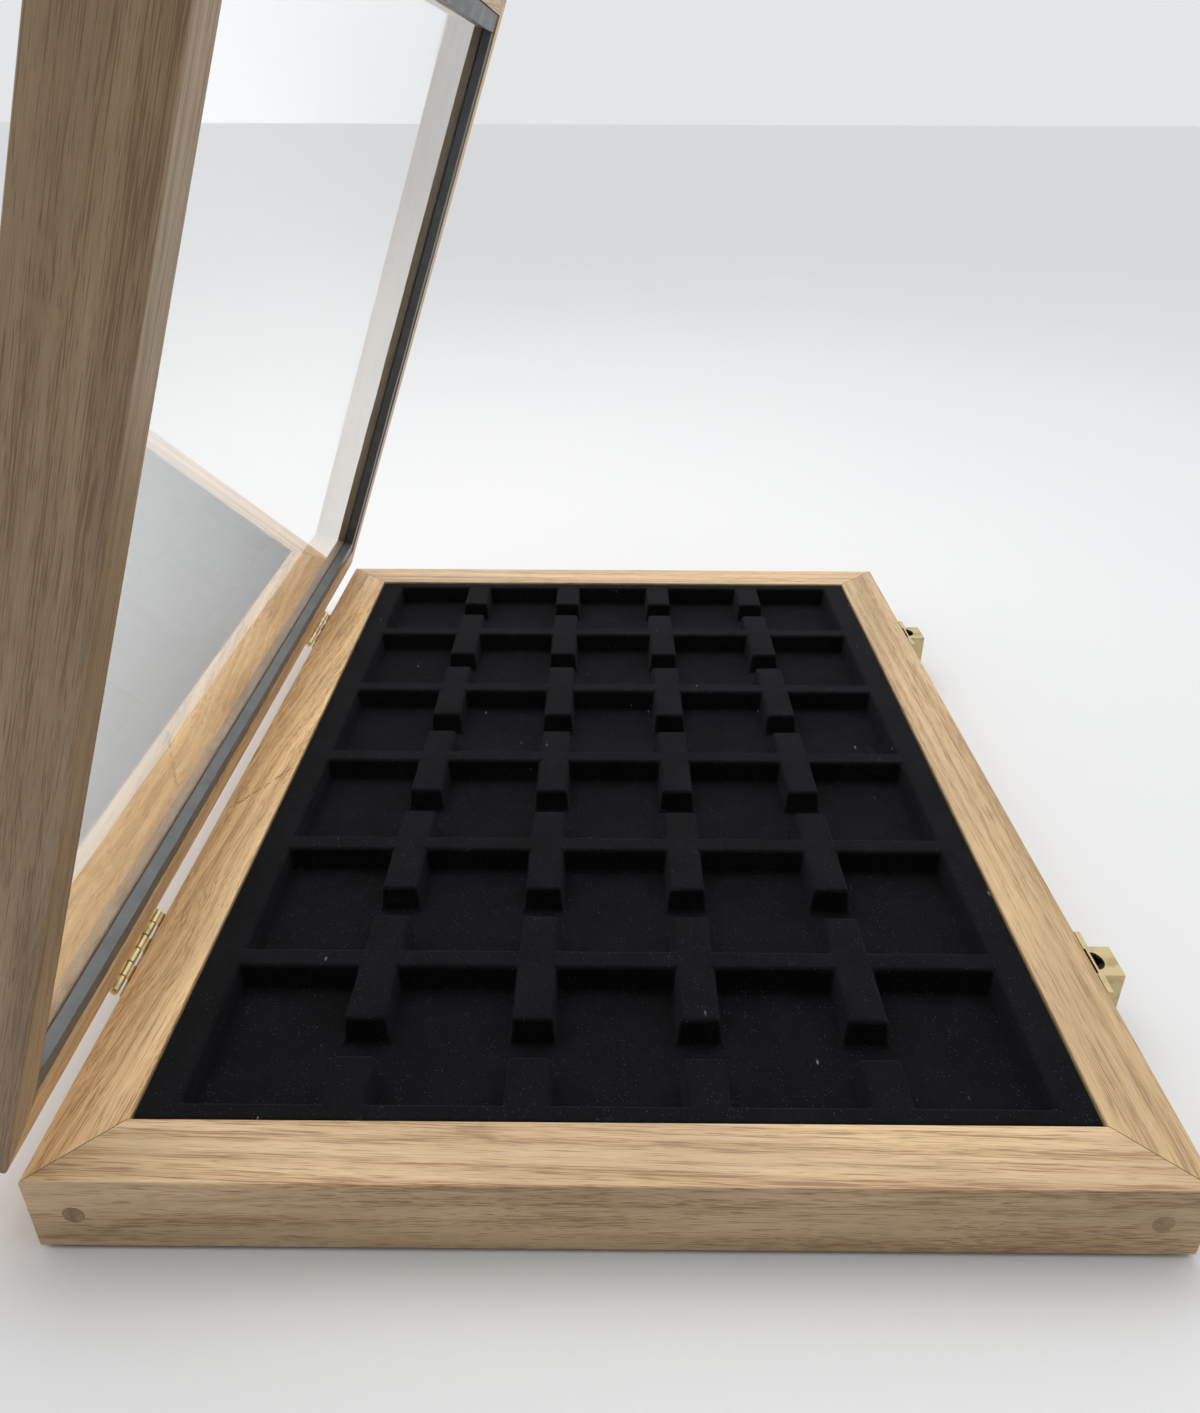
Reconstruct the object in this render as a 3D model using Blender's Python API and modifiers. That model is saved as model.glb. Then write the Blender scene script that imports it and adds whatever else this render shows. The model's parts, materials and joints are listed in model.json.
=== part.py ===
"""Glass-lidded oak display case for slabbed coins, with a flocked 5 by 6 pocket tray.

Frame: metres, +Z up, +Y along the long sides towards the back, +X towards the catches.
The origin is the centre of the base's underside. The lid is modelled closed and then
turned open about its hinge pins by LID_OPEN.
"""

import math

import bmesh
import bpy
from mathutils import Matrix, Vector

MM = 0.001

# ---- driving dimensions ----
CASE_WIDTH = 490 * MM            # outside, hinge side to catch side
CASE_LENGTH = 682 * MM           # outside, front to back
RAIL_WIDTH = 33 * MM
BASE_HEIGHT = 40 * MM
LID_THICKNESS = 37.5 * MM
LID_GAP = 1.6 * MM               # between base and lid when closed
LID_OPEN = math.radians(70)      # how far open the lid stands at rest
GAP = 0.3 * MM                   # kept between touching pieces
ARRIS = 1.0 * MM                 # eased corner of a rail

PANEL_THICKNESS = 6 * MM
PANEL_RABBET = 8 * MM
FOOT_RADIUS = 6 * MM
FOOT_HEIGHT = 2 * MM
FOOT_EDGE = 0.5 * MM
FOOT_SIDES = 20
DOWEL_RADIUS = 4.75 * MM
DOWEL_LENGTH = 50 * MM
DOWEL_INSET = 18.5 * MM          # from the outer side face
DOWEL_SIDES = 20
HOLE_EASE = 0.2 * MM             # radial room round a dowel, pin or screw
CLEAR_CUT = 1 * MM               # how far a cutter runs past what it cuts
WELD = 0.01 * MM                 # points closer than this are one

COLUMNS = 5
ROWS = 6
POCKET_WIDTH = 62.2 * MM
POCKET_LENGTH = 88.8 * MM
POCKET_DEPTH = 15.5 * MM
COLUMN_PITCH = 81.3 * MM
ROW_PITCH = 101.4 * MM
NOTCH_LENGTH = 23.3 * MM         # finger gap between neighbouring columns
NOTCH_FORWARD = 4.5 * MM         # notch centre, in front of the pocket's centre
TRAY_DROP = 1.2 * MM             # tray top, under the base's top
TRAY_FLOOR = 2.5 * MM

GLASS_RABBET = 12.5 * MM
GLASS_LEDGE = 11 * MM            # from the mating face down to the ledge
GLASS_THICKNESS = 3 * MM
GLASS_EASE = 0.5 * MM
STRIP_RECESS = 1.0 * MM          # from the mating face to the strip
STRIP_THICKNESS = 6.4 * MM
STRIP_WIDTH = 12 * MM
FRONT_STRIP_THICKNESS = 3 * MM   # the front strip lies deeper than the others

HINGE_Y = 201 * MM               # each hinge, from the middle of the case
HINGE_LENGTH = 62 * MM
KNUCKLES = 6                     # the front one is the lid's
KNUCKLE_RADIUS = 2.3 * MM
KNUCKLE_EASE = 0.15 * MM
CURL_START = math.radians(200)   # the leaf's curl round the pin, from outwards
CURL_END = math.radians(-120)
CURL_STEPS = 14
BORE_SIDES = 16
PIN_RADIUS = 1.1 * MM
PIN_PROUD = 0.8 * MM
PIN_OUT = 3.9 * MM               # pin axis, outside the side face
LEAF_THICKNESS = 1.2 * MM
LEAF_TOP = 1.5 * MM              # leaf's upper edge, under the base's top
LEAF_BOTTOM = 15 * MM
LEAF_SCREW_STEP = 21 * MM
LEAF_SCREW_DEPTH = 8.5 * MM      # screw centre, from the rail's edge
WEB_DEPTH = 2.6 * MM             # where the knuckle's web leaves the leaf

CATCH_Y = 202.5 * MM
CATCH_LENGTH = 46 * MM
CATCH_PLATE = 3.2 * MM
CATCH_OUT = 14 * MM              # how far the box stands out
CATCH_BOX = 22 * MM              # box, along the rail
CATCH_TOP = 0.5 * MM             # under the base's top
CATCH_BOTTOM = 26 * MM
CATCH_WALL = 1.6 * MM
CATCH_SCREW_STEP = 34 * MM
CATCH_SCREW_DEPTH = 14 * MM
MOUTH_HALF = 6.6 * MM            # half the mouth's straight side
MOUTH_IN = 2.2 * MM              # straight side, from the rail's face
MOUTH_OUT = 7.2 * MM             # crown of the mouth
MOUTH_BACK = 1.1 * MM            # thin wall behind the mouth
MOUTH_WALL_DEPTH = 6.5 * MM
TONGUE_EASE = 0.6 * MM
TONGUE_DEPTH = 12 * MM
HOOK_BOTTOM = 2.2 * MM           # lid half, over the base's top
HOOK_LEDGE = 4 * MM
SPRING_SEAT = 9.6 * MM           # spring's foot, from the rail's face
SPRING_FOOT = 21.6 * MM
SPRING_THICKNESS = 0.6 * MM
SPRING_WIDTH = 9 * MM
SPRING_BEND = 9.5 * MM           # heights above the spring's foot
SPRING_NOSE = 13.8 * MM
SPRING_TIP = 17 * MM
SPRING_SLACK = 0.2 * MM          # between the nose and the tongue's waist
MOUTH_STEPS = 12
ROOM_STEP = 0.2 * MM             # the box's room is this much narrower at the top
HOOK_EDGE = 1 * MM               # hook's ledge, past each end of the mouth
WAIST_TOP = 5 * MM               # notch in the tongue that the spring's nose finds
WAIST_BOTTOM = 9 * MM
WAIST_DEPTH = 0.2 * MM

SCREW_HEAD = 2.6 * MM
SCREW_HEAD_DEPTH = 1.0 * MM
SCREW_SHANK = 1.3 * MM
SCREW_LENGTH = 12 * MM
SCREW_SIDES = 12

# ---- worked out from them ----
HALF_WIDTH = CASE_WIDTH / 2
HALF_LENGTH = CASE_LENGTH / 2
LID_BOTTOM = BASE_HEIGHT + LID_GAP
PIN_X = -HALF_WIDTH - PIN_OUT
PIN_Z = BASE_HEIGHT + LID_GAP / 2
TRAY_TOP = BASE_HEIGHT - TRAY_DROP
TRAY_BOTTOM = TRAY_TOP - POCKET_DEPTH - TRAY_FLOOR
QUARTER = math.pi / 2
SIDES = {"front": 0, "right": 1, "back": 2, "left": 3}


def clear_scene():
    for thing in list(bpy.data.objects):
        bpy.data.objects.remove(thing, do_unlink=True)


def add_collection(name):
    collection = bpy.data.collections.new(name)
    bpy.context.scene.collection.children.link(collection)
    return collection


clear_scene()
PARTS = add_collection("coin_display_case")
CUTTERS = add_collection("cutters")


def finish_material(name, colour, roughness, metallic=0.0, alpha=1.0):
    material = bpy.data.materials.new(name)
    material.use_nodes = True
    shader = material.node_tree.nodes["Principled BSDF"]
    shader.inputs["Base Color"].default_value = (*colour, 1)
    shader.inputs["Roughness"].default_value = roughness
    shader.inputs["Metallic"].default_value = metallic
    shader.inputs["Alpha"].default_value = alpha
    return material


OAK = finish_material("oak", (0.55, 0.37, 0.19), 0.45)
DOWEL_WOOD = finish_material("dowel_wood", (0.38, 0.24, 0.13), 0.55)
PLYWOOD = finish_material("plywood", (0.52, 0.38, 0.22), 0.7)
FOAM = finish_material("foam", (0.55, 0.55, 0.53), 0.9)
FLOCK = finish_material("flock", (0.012, 0.013, 0.018), 0.95)
GLASS = finish_material("glass", (0.85, 0.9, 0.88), 0.03, alpha=0.3)
STRIP = finish_material("strip", (0.16, 0.17, 0.18), 0.55)
BRASS = finish_material("brass", (0.62, 0.52, 0.28), 0.35, metallic=1.0)
SPRING_STEEL = finish_material("spring_steel", (0.45, 0.44, 0.42), 0.35, metallic=1.0)
RUBBER = finish_material("rubber", (0.03, 0.03, 0.03), 0.85)


def place(thing, name, collection, material=None):
    """Name an object and move it to its collection; a cutter has no material."""
    thing.name = name
    thing.data.name = name
    for old in list(thing.users_collection):
        old.objects.unlink(thing)
    collection.objects.link(thing)
    if material:
        thing.data.materials.clear()
        thing.data.materials.append(material)
    else:
        thing.hide_render = True
        thing.display_type = "WIRE"
    return thing


def add_box(name, low, high, material=None):
    low, high = Vector(low), Vector(high)
    bpy.ops.mesh.primitive_cube_add(size=1, location=(low + high) / 2)
    thing = bpy.context.active_object
    thing.scale = high - low
    bpy.ops.object.transform_apply(location=False, rotation=False, scale=True)
    return place(thing, name, PARTS if material else CUTTERS, material)


def add_rod(name, start, end, radius, sides, material=None):
    start, end = Vector(start), Vector(end)
    run = end - start
    bpy.ops.mesh.primitive_cylinder_add(vertices=sides, radius=radius, depth=run.length)
    thing = bpy.context.active_object
    turn = run.to_track_quat("Z", "Y").to_matrix().to_4x4()
    thing.matrix_world = Matrix.Translation((start + end) / 2) @ turn
    shade_round(thing)
    return place(thing, name, PARTS if material else CUTTERS, material)


def shade_round(thing):
    thing.data.shade_smooth()
    thing.data.set_sharp_from_angle(angle=math.radians(35))


def add_prism(name, outline, half_depth, matrix, material=None):
    """A flat outline in the object's own XY plane, thickened both ways along its Z."""
    curve = bpy.data.curves.new(name, "CURVE")
    curve.dimensions = "2D"
    curve.fill_mode = "BOTH"
    curve.extrude = half_depth
    spline = curve.splines.new("POLY")
    spline.points.add(len(outline) - 1)
    for point, (x, y) in zip(spline.points, outline):
        point.co = (x, y, 0, 1)
    spline.use_cyclic_u = True
    guide = bpy.data.objects.new(name + "_outline", curve)
    CUTTERS.objects.link(guide)
    bpy.context.view_layer.update()
    solid = guide.evaluated_get(bpy.context.evaluated_depsgraph_get())
    mesh = bpy.data.meshes.new_from_object(solid)
    bpy.data.objects.remove(guide, do_unlink=True)
    work = bmesh.new()
    work.from_mesh(mesh)
    bmesh.ops.remove_doubles(work, verts=work.verts, dist=WELD)
    bmesh.ops.recalc_face_normals(work, faces=work.faces)
    work.to_mesh(mesh)
    work.free()
    thing = bpy.data.objects.new(name, mesh)
    bpy.context.scene.collection.objects.link(thing)
    thing.matrix_world = matrix
    return place(thing, name, PARTS if material else CUTTERS, material)


def add_turned(name, profile, sides, matrix, material=None):
    """A profile of (radius, height) points, top to bottom, spun about the object's Z."""
    mesh = bpy.data.meshes.new(name)
    mesh.from_pydata([(r, 0, z) for r, z in profile], [(i, i + 1) for i in range(len(profile) - 1)], [])
    thing = bpy.data.objects.new(name, mesh)
    bpy.context.scene.collection.objects.link(thing)
    thing.matrix_world = matrix
    spin = thing.modifiers.new("spin", "SCREW")
    spin.steps = sides
    spin.render_steps = sides
    spin.use_merge_vertices = True
    spin.merge_threshold = WELD
    return place(thing, name, PARTS if material else CUTTERS, material)


def cut(thing, *cutters):
    for cutter in cutters:
        boolean = thing.modifiers.new(cutter.name, "BOOLEAN")
        boolean.operation = "DIFFERENCE"
        boolean.object = cutter


def join(thing, extra):
    """Fuse a second solid into the first; the second stays behind as a hidden guide."""
    boolean = thing.modifiers.new(extra.name, "BOOLEAN")
    boolean.operation = "UNION"
    boolean.object = extra


# ---- rails of base and lid ----

def rail_profile(thickness, rabbet_width, rabbet_depth):
    """Section of a rail: x inwards from the outer face, y up, rabbet at the lower inner edge."""
    return [
        (ARRIS, 0),
        (RAIL_WIDTH - rabbet_width, 0),
        (RAIL_WIDTH - rabbet_width, rabbet_depth),
        (RAIL_WIDTH, rabbet_depth),
        (RAIL_WIDTH, thickness - ARRIS),
        (RAIL_WIDTH - ARRIS, thickness),
        (ARRIS, thickness),
        (0, thickness - ARRIS),
        (0, ARRIS),
    ]


def add_rail(prefix, side, bottom, thickness, rabbet_width, rabbet_depth):
    """One rail of a frame, its section run along the side and cut to a mitre at both ends."""
    along_x = side in ("front", "back")
    half_run = HALF_WIDTH if along_x else HALF_LENGTH
    outer = HALF_LENGTH if along_x else HALF_WIDTH
    turn = Matrix.Rotation(SIDES[side] * QUARTER, 4, "Z")
    section_to_rail = Matrix(((0, 0, 1, 0), (1, 0, 0, 0), (0, 1, 0, 0), (0, 0, 0, 1)))
    matrix = turn @ Matrix.Translation((0, -outer, bottom)) @ section_to_rail
    name = prefix + "_rail_" + side
    rail = add_prism(name, rail_profile(thickness, rabbet_width, rabbet_depth), half_run, matrix, OAK)
    saw_size = 4 * RAIL_WIDTH
    for end in (-1, 1):
        normal = Vector((end, 1, 0)).normalized()
        corner = Vector((end * half_run, -outer, bottom + thickness / 2))
        middle = turn @ (corner + normal * (saw_size / 2 - GAP / 2))
        bpy.ops.mesh.primitive_cube_add(size=saw_size, location=middle,
                                        rotation=(0, 0, SIDES[side] * QUARTER + math.radians(45)))
        cut(rail, place(bpy.context.active_object, name + "_mitre", CUTTERS))
    return rail


def add_frame(prefix, bottom, thickness, rabbet_width, rabbet_depth, dowel_height):
    """Four mitred rails, with a dowel through each corner from the front or back face."""
    rails = {}
    for side in SIDES:
        rails[side] = add_rail(prefix, side, bottom, thickness, rabbet_width, rabbet_depth)
    for end, face in (("front", -1), ("back", 1)):
        for side, hand in (("left", -1), ("right", 1)):
            start = Vector((hand * (HALF_WIDTH - DOWEL_INSET), face * HALF_LENGTH, bottom + dowel_height))
            inwards = Vector((0, -face, 0))
            name = f"{prefix}_dowel_{end}_{side}"
            add_rod(name, start, start + inwards * DOWEL_LENGTH, DOWEL_RADIUS, DOWEL_SIDES, DOWEL_WOOD)
            hole_end = start + inwards * (DOWEL_LENGTH + GAP)
            drill = add_rod(name + "_hole", start - inwards * CLEAR_CUT, hole_end,
                            DOWEL_RADIUS + HOLE_EASE, DOWEL_SIDES)
            cut(rails[end], drill)
            cut(rails[side], drill)
    return rails


# ---- screws ----

def facing(direction):
    """Turn an object's +Z to point out of the left (-1) or right (+1) side face."""
    return Matrix.Rotation(direction * QUARTER, 4, "Y")


def add_screw(name, head, direction, pieces):
    """A countersunk screw whose head's face is at `head`; it takes its hole from each piece."""
    matrix = Matrix.Translation(head) @ facing(direction)
    tip = -SCREW_LENGTH
    add_turned(name, [
        (0, 0),
        (SCREW_HEAD, 0),
        (SCREW_SHANK, -SCREW_HEAD_DEPTH),
        (SCREW_SHANK, tip + 2 * SCREW_SHANK),
        (0, tip),
    ], SCREW_SIDES, matrix, BRASS)
    drill = add_turned(name + "_hole", [
        (0, CLEAR_CUT),
        (SCREW_HEAD + HOLE_EASE, CLEAR_CUT),
        (SCREW_HEAD + HOLE_EASE, 0),
        (SCREW_SHANK + HOLE_EASE, -SCREW_HEAD_DEPTH - HOLE_EASE),
        (SCREW_SHANK + HOLE_EASE, tip - HOLE_EASE),
        (0, tip - HOLE_EASE),
    ], SCREW_SIDES, matrix)
    for piece in pieces:
        cut(piece, drill)


# ---- hinges ----

def leaf_profile(up):
    """Section of a leaf: x outwards from the rail's face, y from the pin's height.

    `up` is 1 for the lid's leaf, above the pin, and -1 for the base's, below it.
    """
    inner = HOLE_EASE
    outer = inner + LEAF_THICKNESS
    half_gap = LID_GAP / 2
    far = half_gap + LEAF_BOTTOM
    web = half_gap + WEB_DEPTH
    curl = []
    for step in range(CURL_STEPS + 1):
        angle = CURL_START + (CURL_END - CURL_START) * step / CURL_STEPS
        curl.append((PIN_OUT + KNUCKLE_RADIUS * math.cos(angle), KNUCKLE_RADIUS * math.sin(angle)))
    outline = [(inner, -far), (inner, -web), *curl, (outer, -web - LEAF_THICKNESS), (outer, -far)]
    return [(x, -up * y) for x, y in outline]


def add_hinge(place_name, y, base_rail, lid_rail):
    """Two leaves with three knuckles each, on one pin that the base carries."""
    step = HINGE_LENGTH / KNUCKLES
    section_to_side = Matrix(((-1, 0, 0, -HALF_WIDTH), (0, 0, 1, y), (0, 1, 0, PIN_Z), (0, 0, 0, 1)))
    bore = (Vector((PIN_X, y - HINGE_LENGTH, PIN_Z)), Vector((PIN_X, y + HINGE_LENGTH, PIN_Z)))
    leaves = {}
    for owner, up, first in (("lid", 1, 1), ("base", -1, 0)):
        name = f"hinge_{place_name}_{owner}_leaf"
        leaf = add_prism(name, leaf_profile(up), HINGE_LENGTH / 2, section_to_side, BRASS)
        cut(leaf, add_rod(name + "_bore", *bore, PIN_RADIUS + HOLE_EASE, BORE_SIDES))
        edge = PIN_Z + up * (LID_GAP / 2 + LEAF_TOP)
        beyond = PIN_Z - up * 2 * KNUCKLE_RADIUS
        for knuckle in range(first, KNUCKLES, 2):
            start = y - HINGE_LENGTH / 2 + knuckle * step
            low = (PIN_X - 2 * KNUCKLE_RADIUS, start - KNUCKLE_EASE, min(edge, beyond))
            high = (-HALF_WIDTH + CLEAR_CUT, start + step + KNUCKLE_EASE, max(edge, beyond))
            cut(leaf, add_box(name + "_gap", low, high))
        leaves[owner] = leaf
    pin_half = HINGE_LENGTH / 2 + PIN_PROUD
    add_rod(f"hinge_{place_name}_pin", (PIN_X, y - pin_half, PIN_Z), (PIN_X, y + pin_half, PIN_Z),
            PIN_RADIUS, BORE_SIDES, BRASS)
    head_x = -HALF_WIDTH - HOLE_EASE - LEAF_THICKNESS
    for owner, up, rail in (("lid", 1, lid_rail), ("base", -1, base_rail)):
        z = PIN_Z + up * (LID_GAP / 2 + LEAF_SCREW_DEPTH)
        for index in (-1, 0, 1):
            head = Vector((head_x, y + index * LEAF_SCREW_STEP, z))
            name = f"hinge_{place_name}_{owner}_screw_{index + 2}"
            add_screw(name, head, -1, (leaves[owner], rail))


# ---- snap catches ----

def mouth_outline(ease):
    """Half oval with its straight side near the rail: x outwards, y along the rail."""
    half = MOUTH_HALF - 2 * ease
    reach = MOUTH_OUT - MOUTH_IN - 2 * ease
    points = []
    for step in range(MOUTH_STEPS + 1):
        angle = -QUARTER + math.pi * step / MOUTH_STEPS
        points.append((MOUTH_IN + ease + reach * math.cos(angle), half * math.sin(angle)))
    return points


def add_catch(place_name, y, base_rail, lid_rail):
    """A hollow box on the base, the tongue on the lid that enters it, and the spring inside."""
    face = HALF_WIDTH
    top = BASE_HEIGHT
    half = CATCH_LENGTH / 2
    box_half = CATCH_BOX / 2
    room_half = box_half - CATCH_WALL
    room_out = CATCH_OUT - CATCH_WALL
    room_top = CATCH_TOP + CATCH_WALL
    name = f"catch_{place_name}"

    def block(label, u, v, w, material=None):
        """A box from ranges out of the rail (u), along it (v) and up from the base's top (w)."""
        low = (face + u[0], y + v[0], top + w[0])
        high = (face + u[1], y + v[1], top + w[1])
        return add_box(f"{name}_{label}", low, high, material)

    housing = block("box", (HOLE_EASE, CATCH_OUT), (-half, half), (-CATCH_BOTTOM, -CATCH_TOP), BRASS)
    for hand in (-1, 1):
        span = sorted((hand * box_half, hand * 2 * half))
        cut(housing, block("side", (CATCH_PLATE, 2 * CATCH_OUT), span, (-2 * CATCH_BOTTOM, CATCH_BOTTOM)))
    across = (-room_half, room_half)
    lower = (-CATCH_BOTTOM + CATCH_WALL, -MOUTH_WALL_DEPTH)
    cut(housing, block("room", (-CLEAR_CUT, room_out), across, lower))
    upper_half = room_half - ROOM_STEP
    upper_low = -MOUTH_WALL_DEPTH - CLEAR_CUT
    cut(housing, block("room_top", (MOUTH_IN, room_out - ROOM_STEP), (-upper_half, upper_half),
                       (upper_low, -room_top)))
    cut(housing, block("back_recess", (-CLEAR_CUT, MOUTH_BACK), (-upper_half, upper_half),
                       (upper_low, CLEAR_CUT)))
    mouth = Matrix.Translation((face, y, top - CATCH_TOP))
    cut(housing, add_prism(name + "_mouth", mouth_outline(0), 2 * CATCH_WALL, mouth))

    hook_half = MOUTH_HALF + HOOK_EDGE
    hook = block("hook", (HOLE_EASE, MOUTH_OUT), (-half, half), (HOOK_BOTTOM, CATCH_BOTTOM), BRASS)
    cut(hook, block("hook_face", (CATCH_PLATE, CATCH_OUT), (-2 * half, 2 * half),
                    (HOOK_BOTTOM + HOOK_LEDGE, 2 * CATCH_BOTTOM)))
    for hand in (-1, 1):
        span = sorted((hand * hook_half, hand * 2 * half))
        cut(hook, block("hook_side", (CATCH_PLATE, CATCH_OUT), span, (-CATCH_BOTTOM, 2 * CATCH_BOTTOM)))
    tongue_top = HOOK_BOTTOM + HOOK_LEDGE / 2
    middle = (tongue_top - TONGUE_DEPTH) / 2
    tongue = add_prism(name + "_tongue", mouth_outline(TONGUE_EASE), tongue_top - middle,
                       Matrix.Translation((face, y, top + middle)))
    waist = MOUTH_OUT - 2 * TONGUE_EASE - WAIST_DEPTH
    cut(tongue, block("waist", (waist, CATCH_OUT), (-2 * half, 2 * half), (-WAIST_BOTTOM, -WAIST_TOP)))
    join(hook, tongue)

    spring_matrix = Matrix(((1, 0, 0, face + SPRING_SEAT), (0, 0, 1, y), (0, 1, 0, top - SPRING_FOOT),
                            (0, 0, 0, 1)))
    nose_in = SPRING_SLACK - (SPRING_SEAT - MOUTH_OUT + TONGUE_EASE)
    back = SPRING_THICKNESS
    add_prism(name + "_spring", [
        (0, 0), (back, 0), (back, SPRING_BEND), (back + nose_in + SPRING_SLACK, SPRING_NOSE),
        (back, SPRING_TIP), (0, SPRING_TIP), (nose_in, SPRING_NOSE), (0, SPRING_BEND),
    ], SPRING_WIDTH / 2, spring_matrix, SPRING_STEEL)

    for owner, piece, rail, up in (("base", housing, base_rail, -1), ("lid", hook, lid_rail, 1)):
        edge = top if up < 0 else LID_BOTTOM
        for index, hand in ((1, -1), (2, 1)):
            across = y + hand * CATCH_SCREW_STEP / 2
            head = Vector((face + CATCH_PLATE, across, edge + up * CATCH_SCREW_DEPTH))
            add_screw(f"{name}_{owner}_screw_{index}", head, 1, (piece, rail))


# ---- tray, panel and feet ----

def row_outline():
    """One row of pockets joined by its finger notches, drawn about the row's centre."""
    near, far = [], []
    middle = (COLUMNS - 1) / 2
    notch_low = -NOTCH_FORWARD - NOTCH_LENGTH / 2
    notch_high = notch_low + NOTCH_LENGTH
    for column in range(COLUMNS):
        left = (column - middle) * COLUMN_PITCH - POCKET_WIDTH / 2
        right = left + POCKET_WIDTH
        if column > 0:
            near.append((left, notch_low))
            far.append((left, notch_high))
        near += [(left, -POCKET_LENGTH / 2), (right, -POCKET_LENGTH / 2)]
        far += [(left, POCKET_LENGTH / 2), (right, POCKET_LENGTH / 2)]
        if column < COLUMNS - 1:
            near.append((right, notch_low))
            far.append((right, notch_high))
    return near + far[::-1]


def add_tray():
    half_x = HALF_WIDTH - RAIL_WIDTH - GAP
    half_y = HALF_LENGTH - RAIL_WIDTH - GAP
    tray = add_box("coin_tray", (-half_x, -half_y, TRAY_BOTTOM), (half_x, half_y, TRAY_TOP), FLOCK)
    for row in range(ROWS):
        y = (row - (ROWS - 1) / 2) * ROW_PITCH
        matrix = Matrix.Translation((0, y, TRAY_TOP))
        cut(tray, add_prism(f"pocket_row_{row + 1}", row_outline(), POCKET_DEPTH, matrix))
    low = PANEL_THICKNESS + GAP
    add_box("tray_riser", (-half_x, -half_y, low), (half_x, half_y, TRAY_BOTTOM - GAP), FOAM)


def add_bottom():
    half_x = HALF_WIDTH - RAIL_WIDTH + PANEL_RABBET - GAP
    half_y = HALF_LENGTH - RAIL_WIDTH + PANEL_RABBET - GAP
    add_box("bottom_panel", (-half_x, -half_y, 0), (half_x, half_y, PANEL_THICKNESS), PLYWOOD)
    for end, face in (("front", -1), ("back", 1)):
        for side, hand in (("left", -1), ("right", 1)):
            x = hand * (HALF_WIDTH - RAIL_WIDTH / 3)
            y = face * (HALF_LENGTH - RAIL_WIDTH / 3)
            add_turned(f"foot_{end}_{side}", [
                (0, -GAP),
                (FOOT_RADIUS, -GAP),
                (FOOT_RADIUS, -FOOT_HEIGHT + FOOT_EDGE),
                (FOOT_RADIUS - FOOT_EDGE, -FOOT_HEIGHT),
                (0, -FOOT_HEIGHT),
            ], FOOT_SIDES, Matrix.Translation((x, y, 0)), RUBBER)


# ---- glass and its strips ----

def add_glazing():
    """The pane lies against the ledge of the rabbet, with a strip along each side over it."""
    seat_x = HALF_WIDTH - RAIL_WIDTH + GLASS_RABBET
    seat_y = HALF_LENGTH - RAIL_WIDTH + GLASS_RABBET
    pane_top = LID_BOTTOM + GLASS_LEDGE - GAP
    add_box("glass_pane", (-seat_x + GLASS_EASE, -seat_y + GLASS_EASE, pane_top - GLASS_THICKNESS),
            (seat_x - GLASS_EASE, seat_y - GLASS_EASE, pane_top), GLASS)
    low = LID_BOTTOM + STRIP_RECESS
    high = low + STRIP_THICKNESS
    out_x = seat_x - GAP
    out_y = seat_y - GAP
    in_x = out_x - STRIP_WIDTH
    in_y = out_y - STRIP_WIDTH
    for side, hand in (("left", -1), ("right", 1)):
        x = sorted((hand * in_x, hand * out_x))
        add_box("glass_strip_" + side, (x[0], -out_y, low), (x[1], out_y, high), STRIP)
    front_low = high - FRONT_STRIP_THICKNESS
    for side, hand, under in (("front", -1, front_low), ("back", 1, low)):
        y = sorted((hand * in_y, hand * out_y))
        add_box("glass_strip_" + side, (-in_x + GAP, y[0], under), (in_x - GAP, y[1], high), STRIP)


def hang_lid(pieces):
    """Parent the lid's pieces and their cutters to an empty on the pins, and turn it open."""
    pivot = bpy.data.objects.new("lid_pivot", None)
    PARTS.objects.link(pivot)
    pivot.location = (PIN_X, 0, PIN_Z)
    bpy.context.view_layer.update()
    for piece in pieces:
        world = piece.matrix_world.copy()
        piece.parent = pivot
        piece.matrix_world = world
    pivot.rotation_euler.y = -LID_OPEN


def is_lid_piece(thing):
    words = thing.name.split(".")[0]
    return (words.startswith(("lid_", "glass_")) or "_lid_" in words or "_hook" in words
            or "_tongue" in words or "_waist" in words)


def main():
    base = add_frame("base", 0, BASE_HEIGHT, PANEL_RABBET, PANEL_THICKNESS + GAP, BASE_HEIGHT / 2)
    lid = add_frame("lid", LID_BOTTOM, LID_THICKNESS, GLASS_RABBET, GLASS_LEDGE, LID_THICKNESS * 0.6)
    add_bottom()
    add_tray()
    add_glazing()
    for name, hand in (("front", -1), ("back", 1)):
        add_hinge(name, hand * HINGE_Y, base["left"], lid["left"])
        add_catch(name, hand * CATCH_Y, base["right"], lid["right"])
    hang_lid([thing for thing in bpy.data.objects if is_lid_piece(thing)])


main()
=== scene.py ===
"""Oak display case for slabbed coins: a mitred base with a flocked tray, and a glazed lid standing open.

Units are metres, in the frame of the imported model. The lid's new pieces are made in the place they have
when it is shut, and their meshes are then turned open about the hinge pins.
"""

import json
import math

import bmesh
import bpy
from bpy.props import FloatProperty, FloatVectorProperty, PointerProperty
from mathutils import Matrix, Vector, noise


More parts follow.
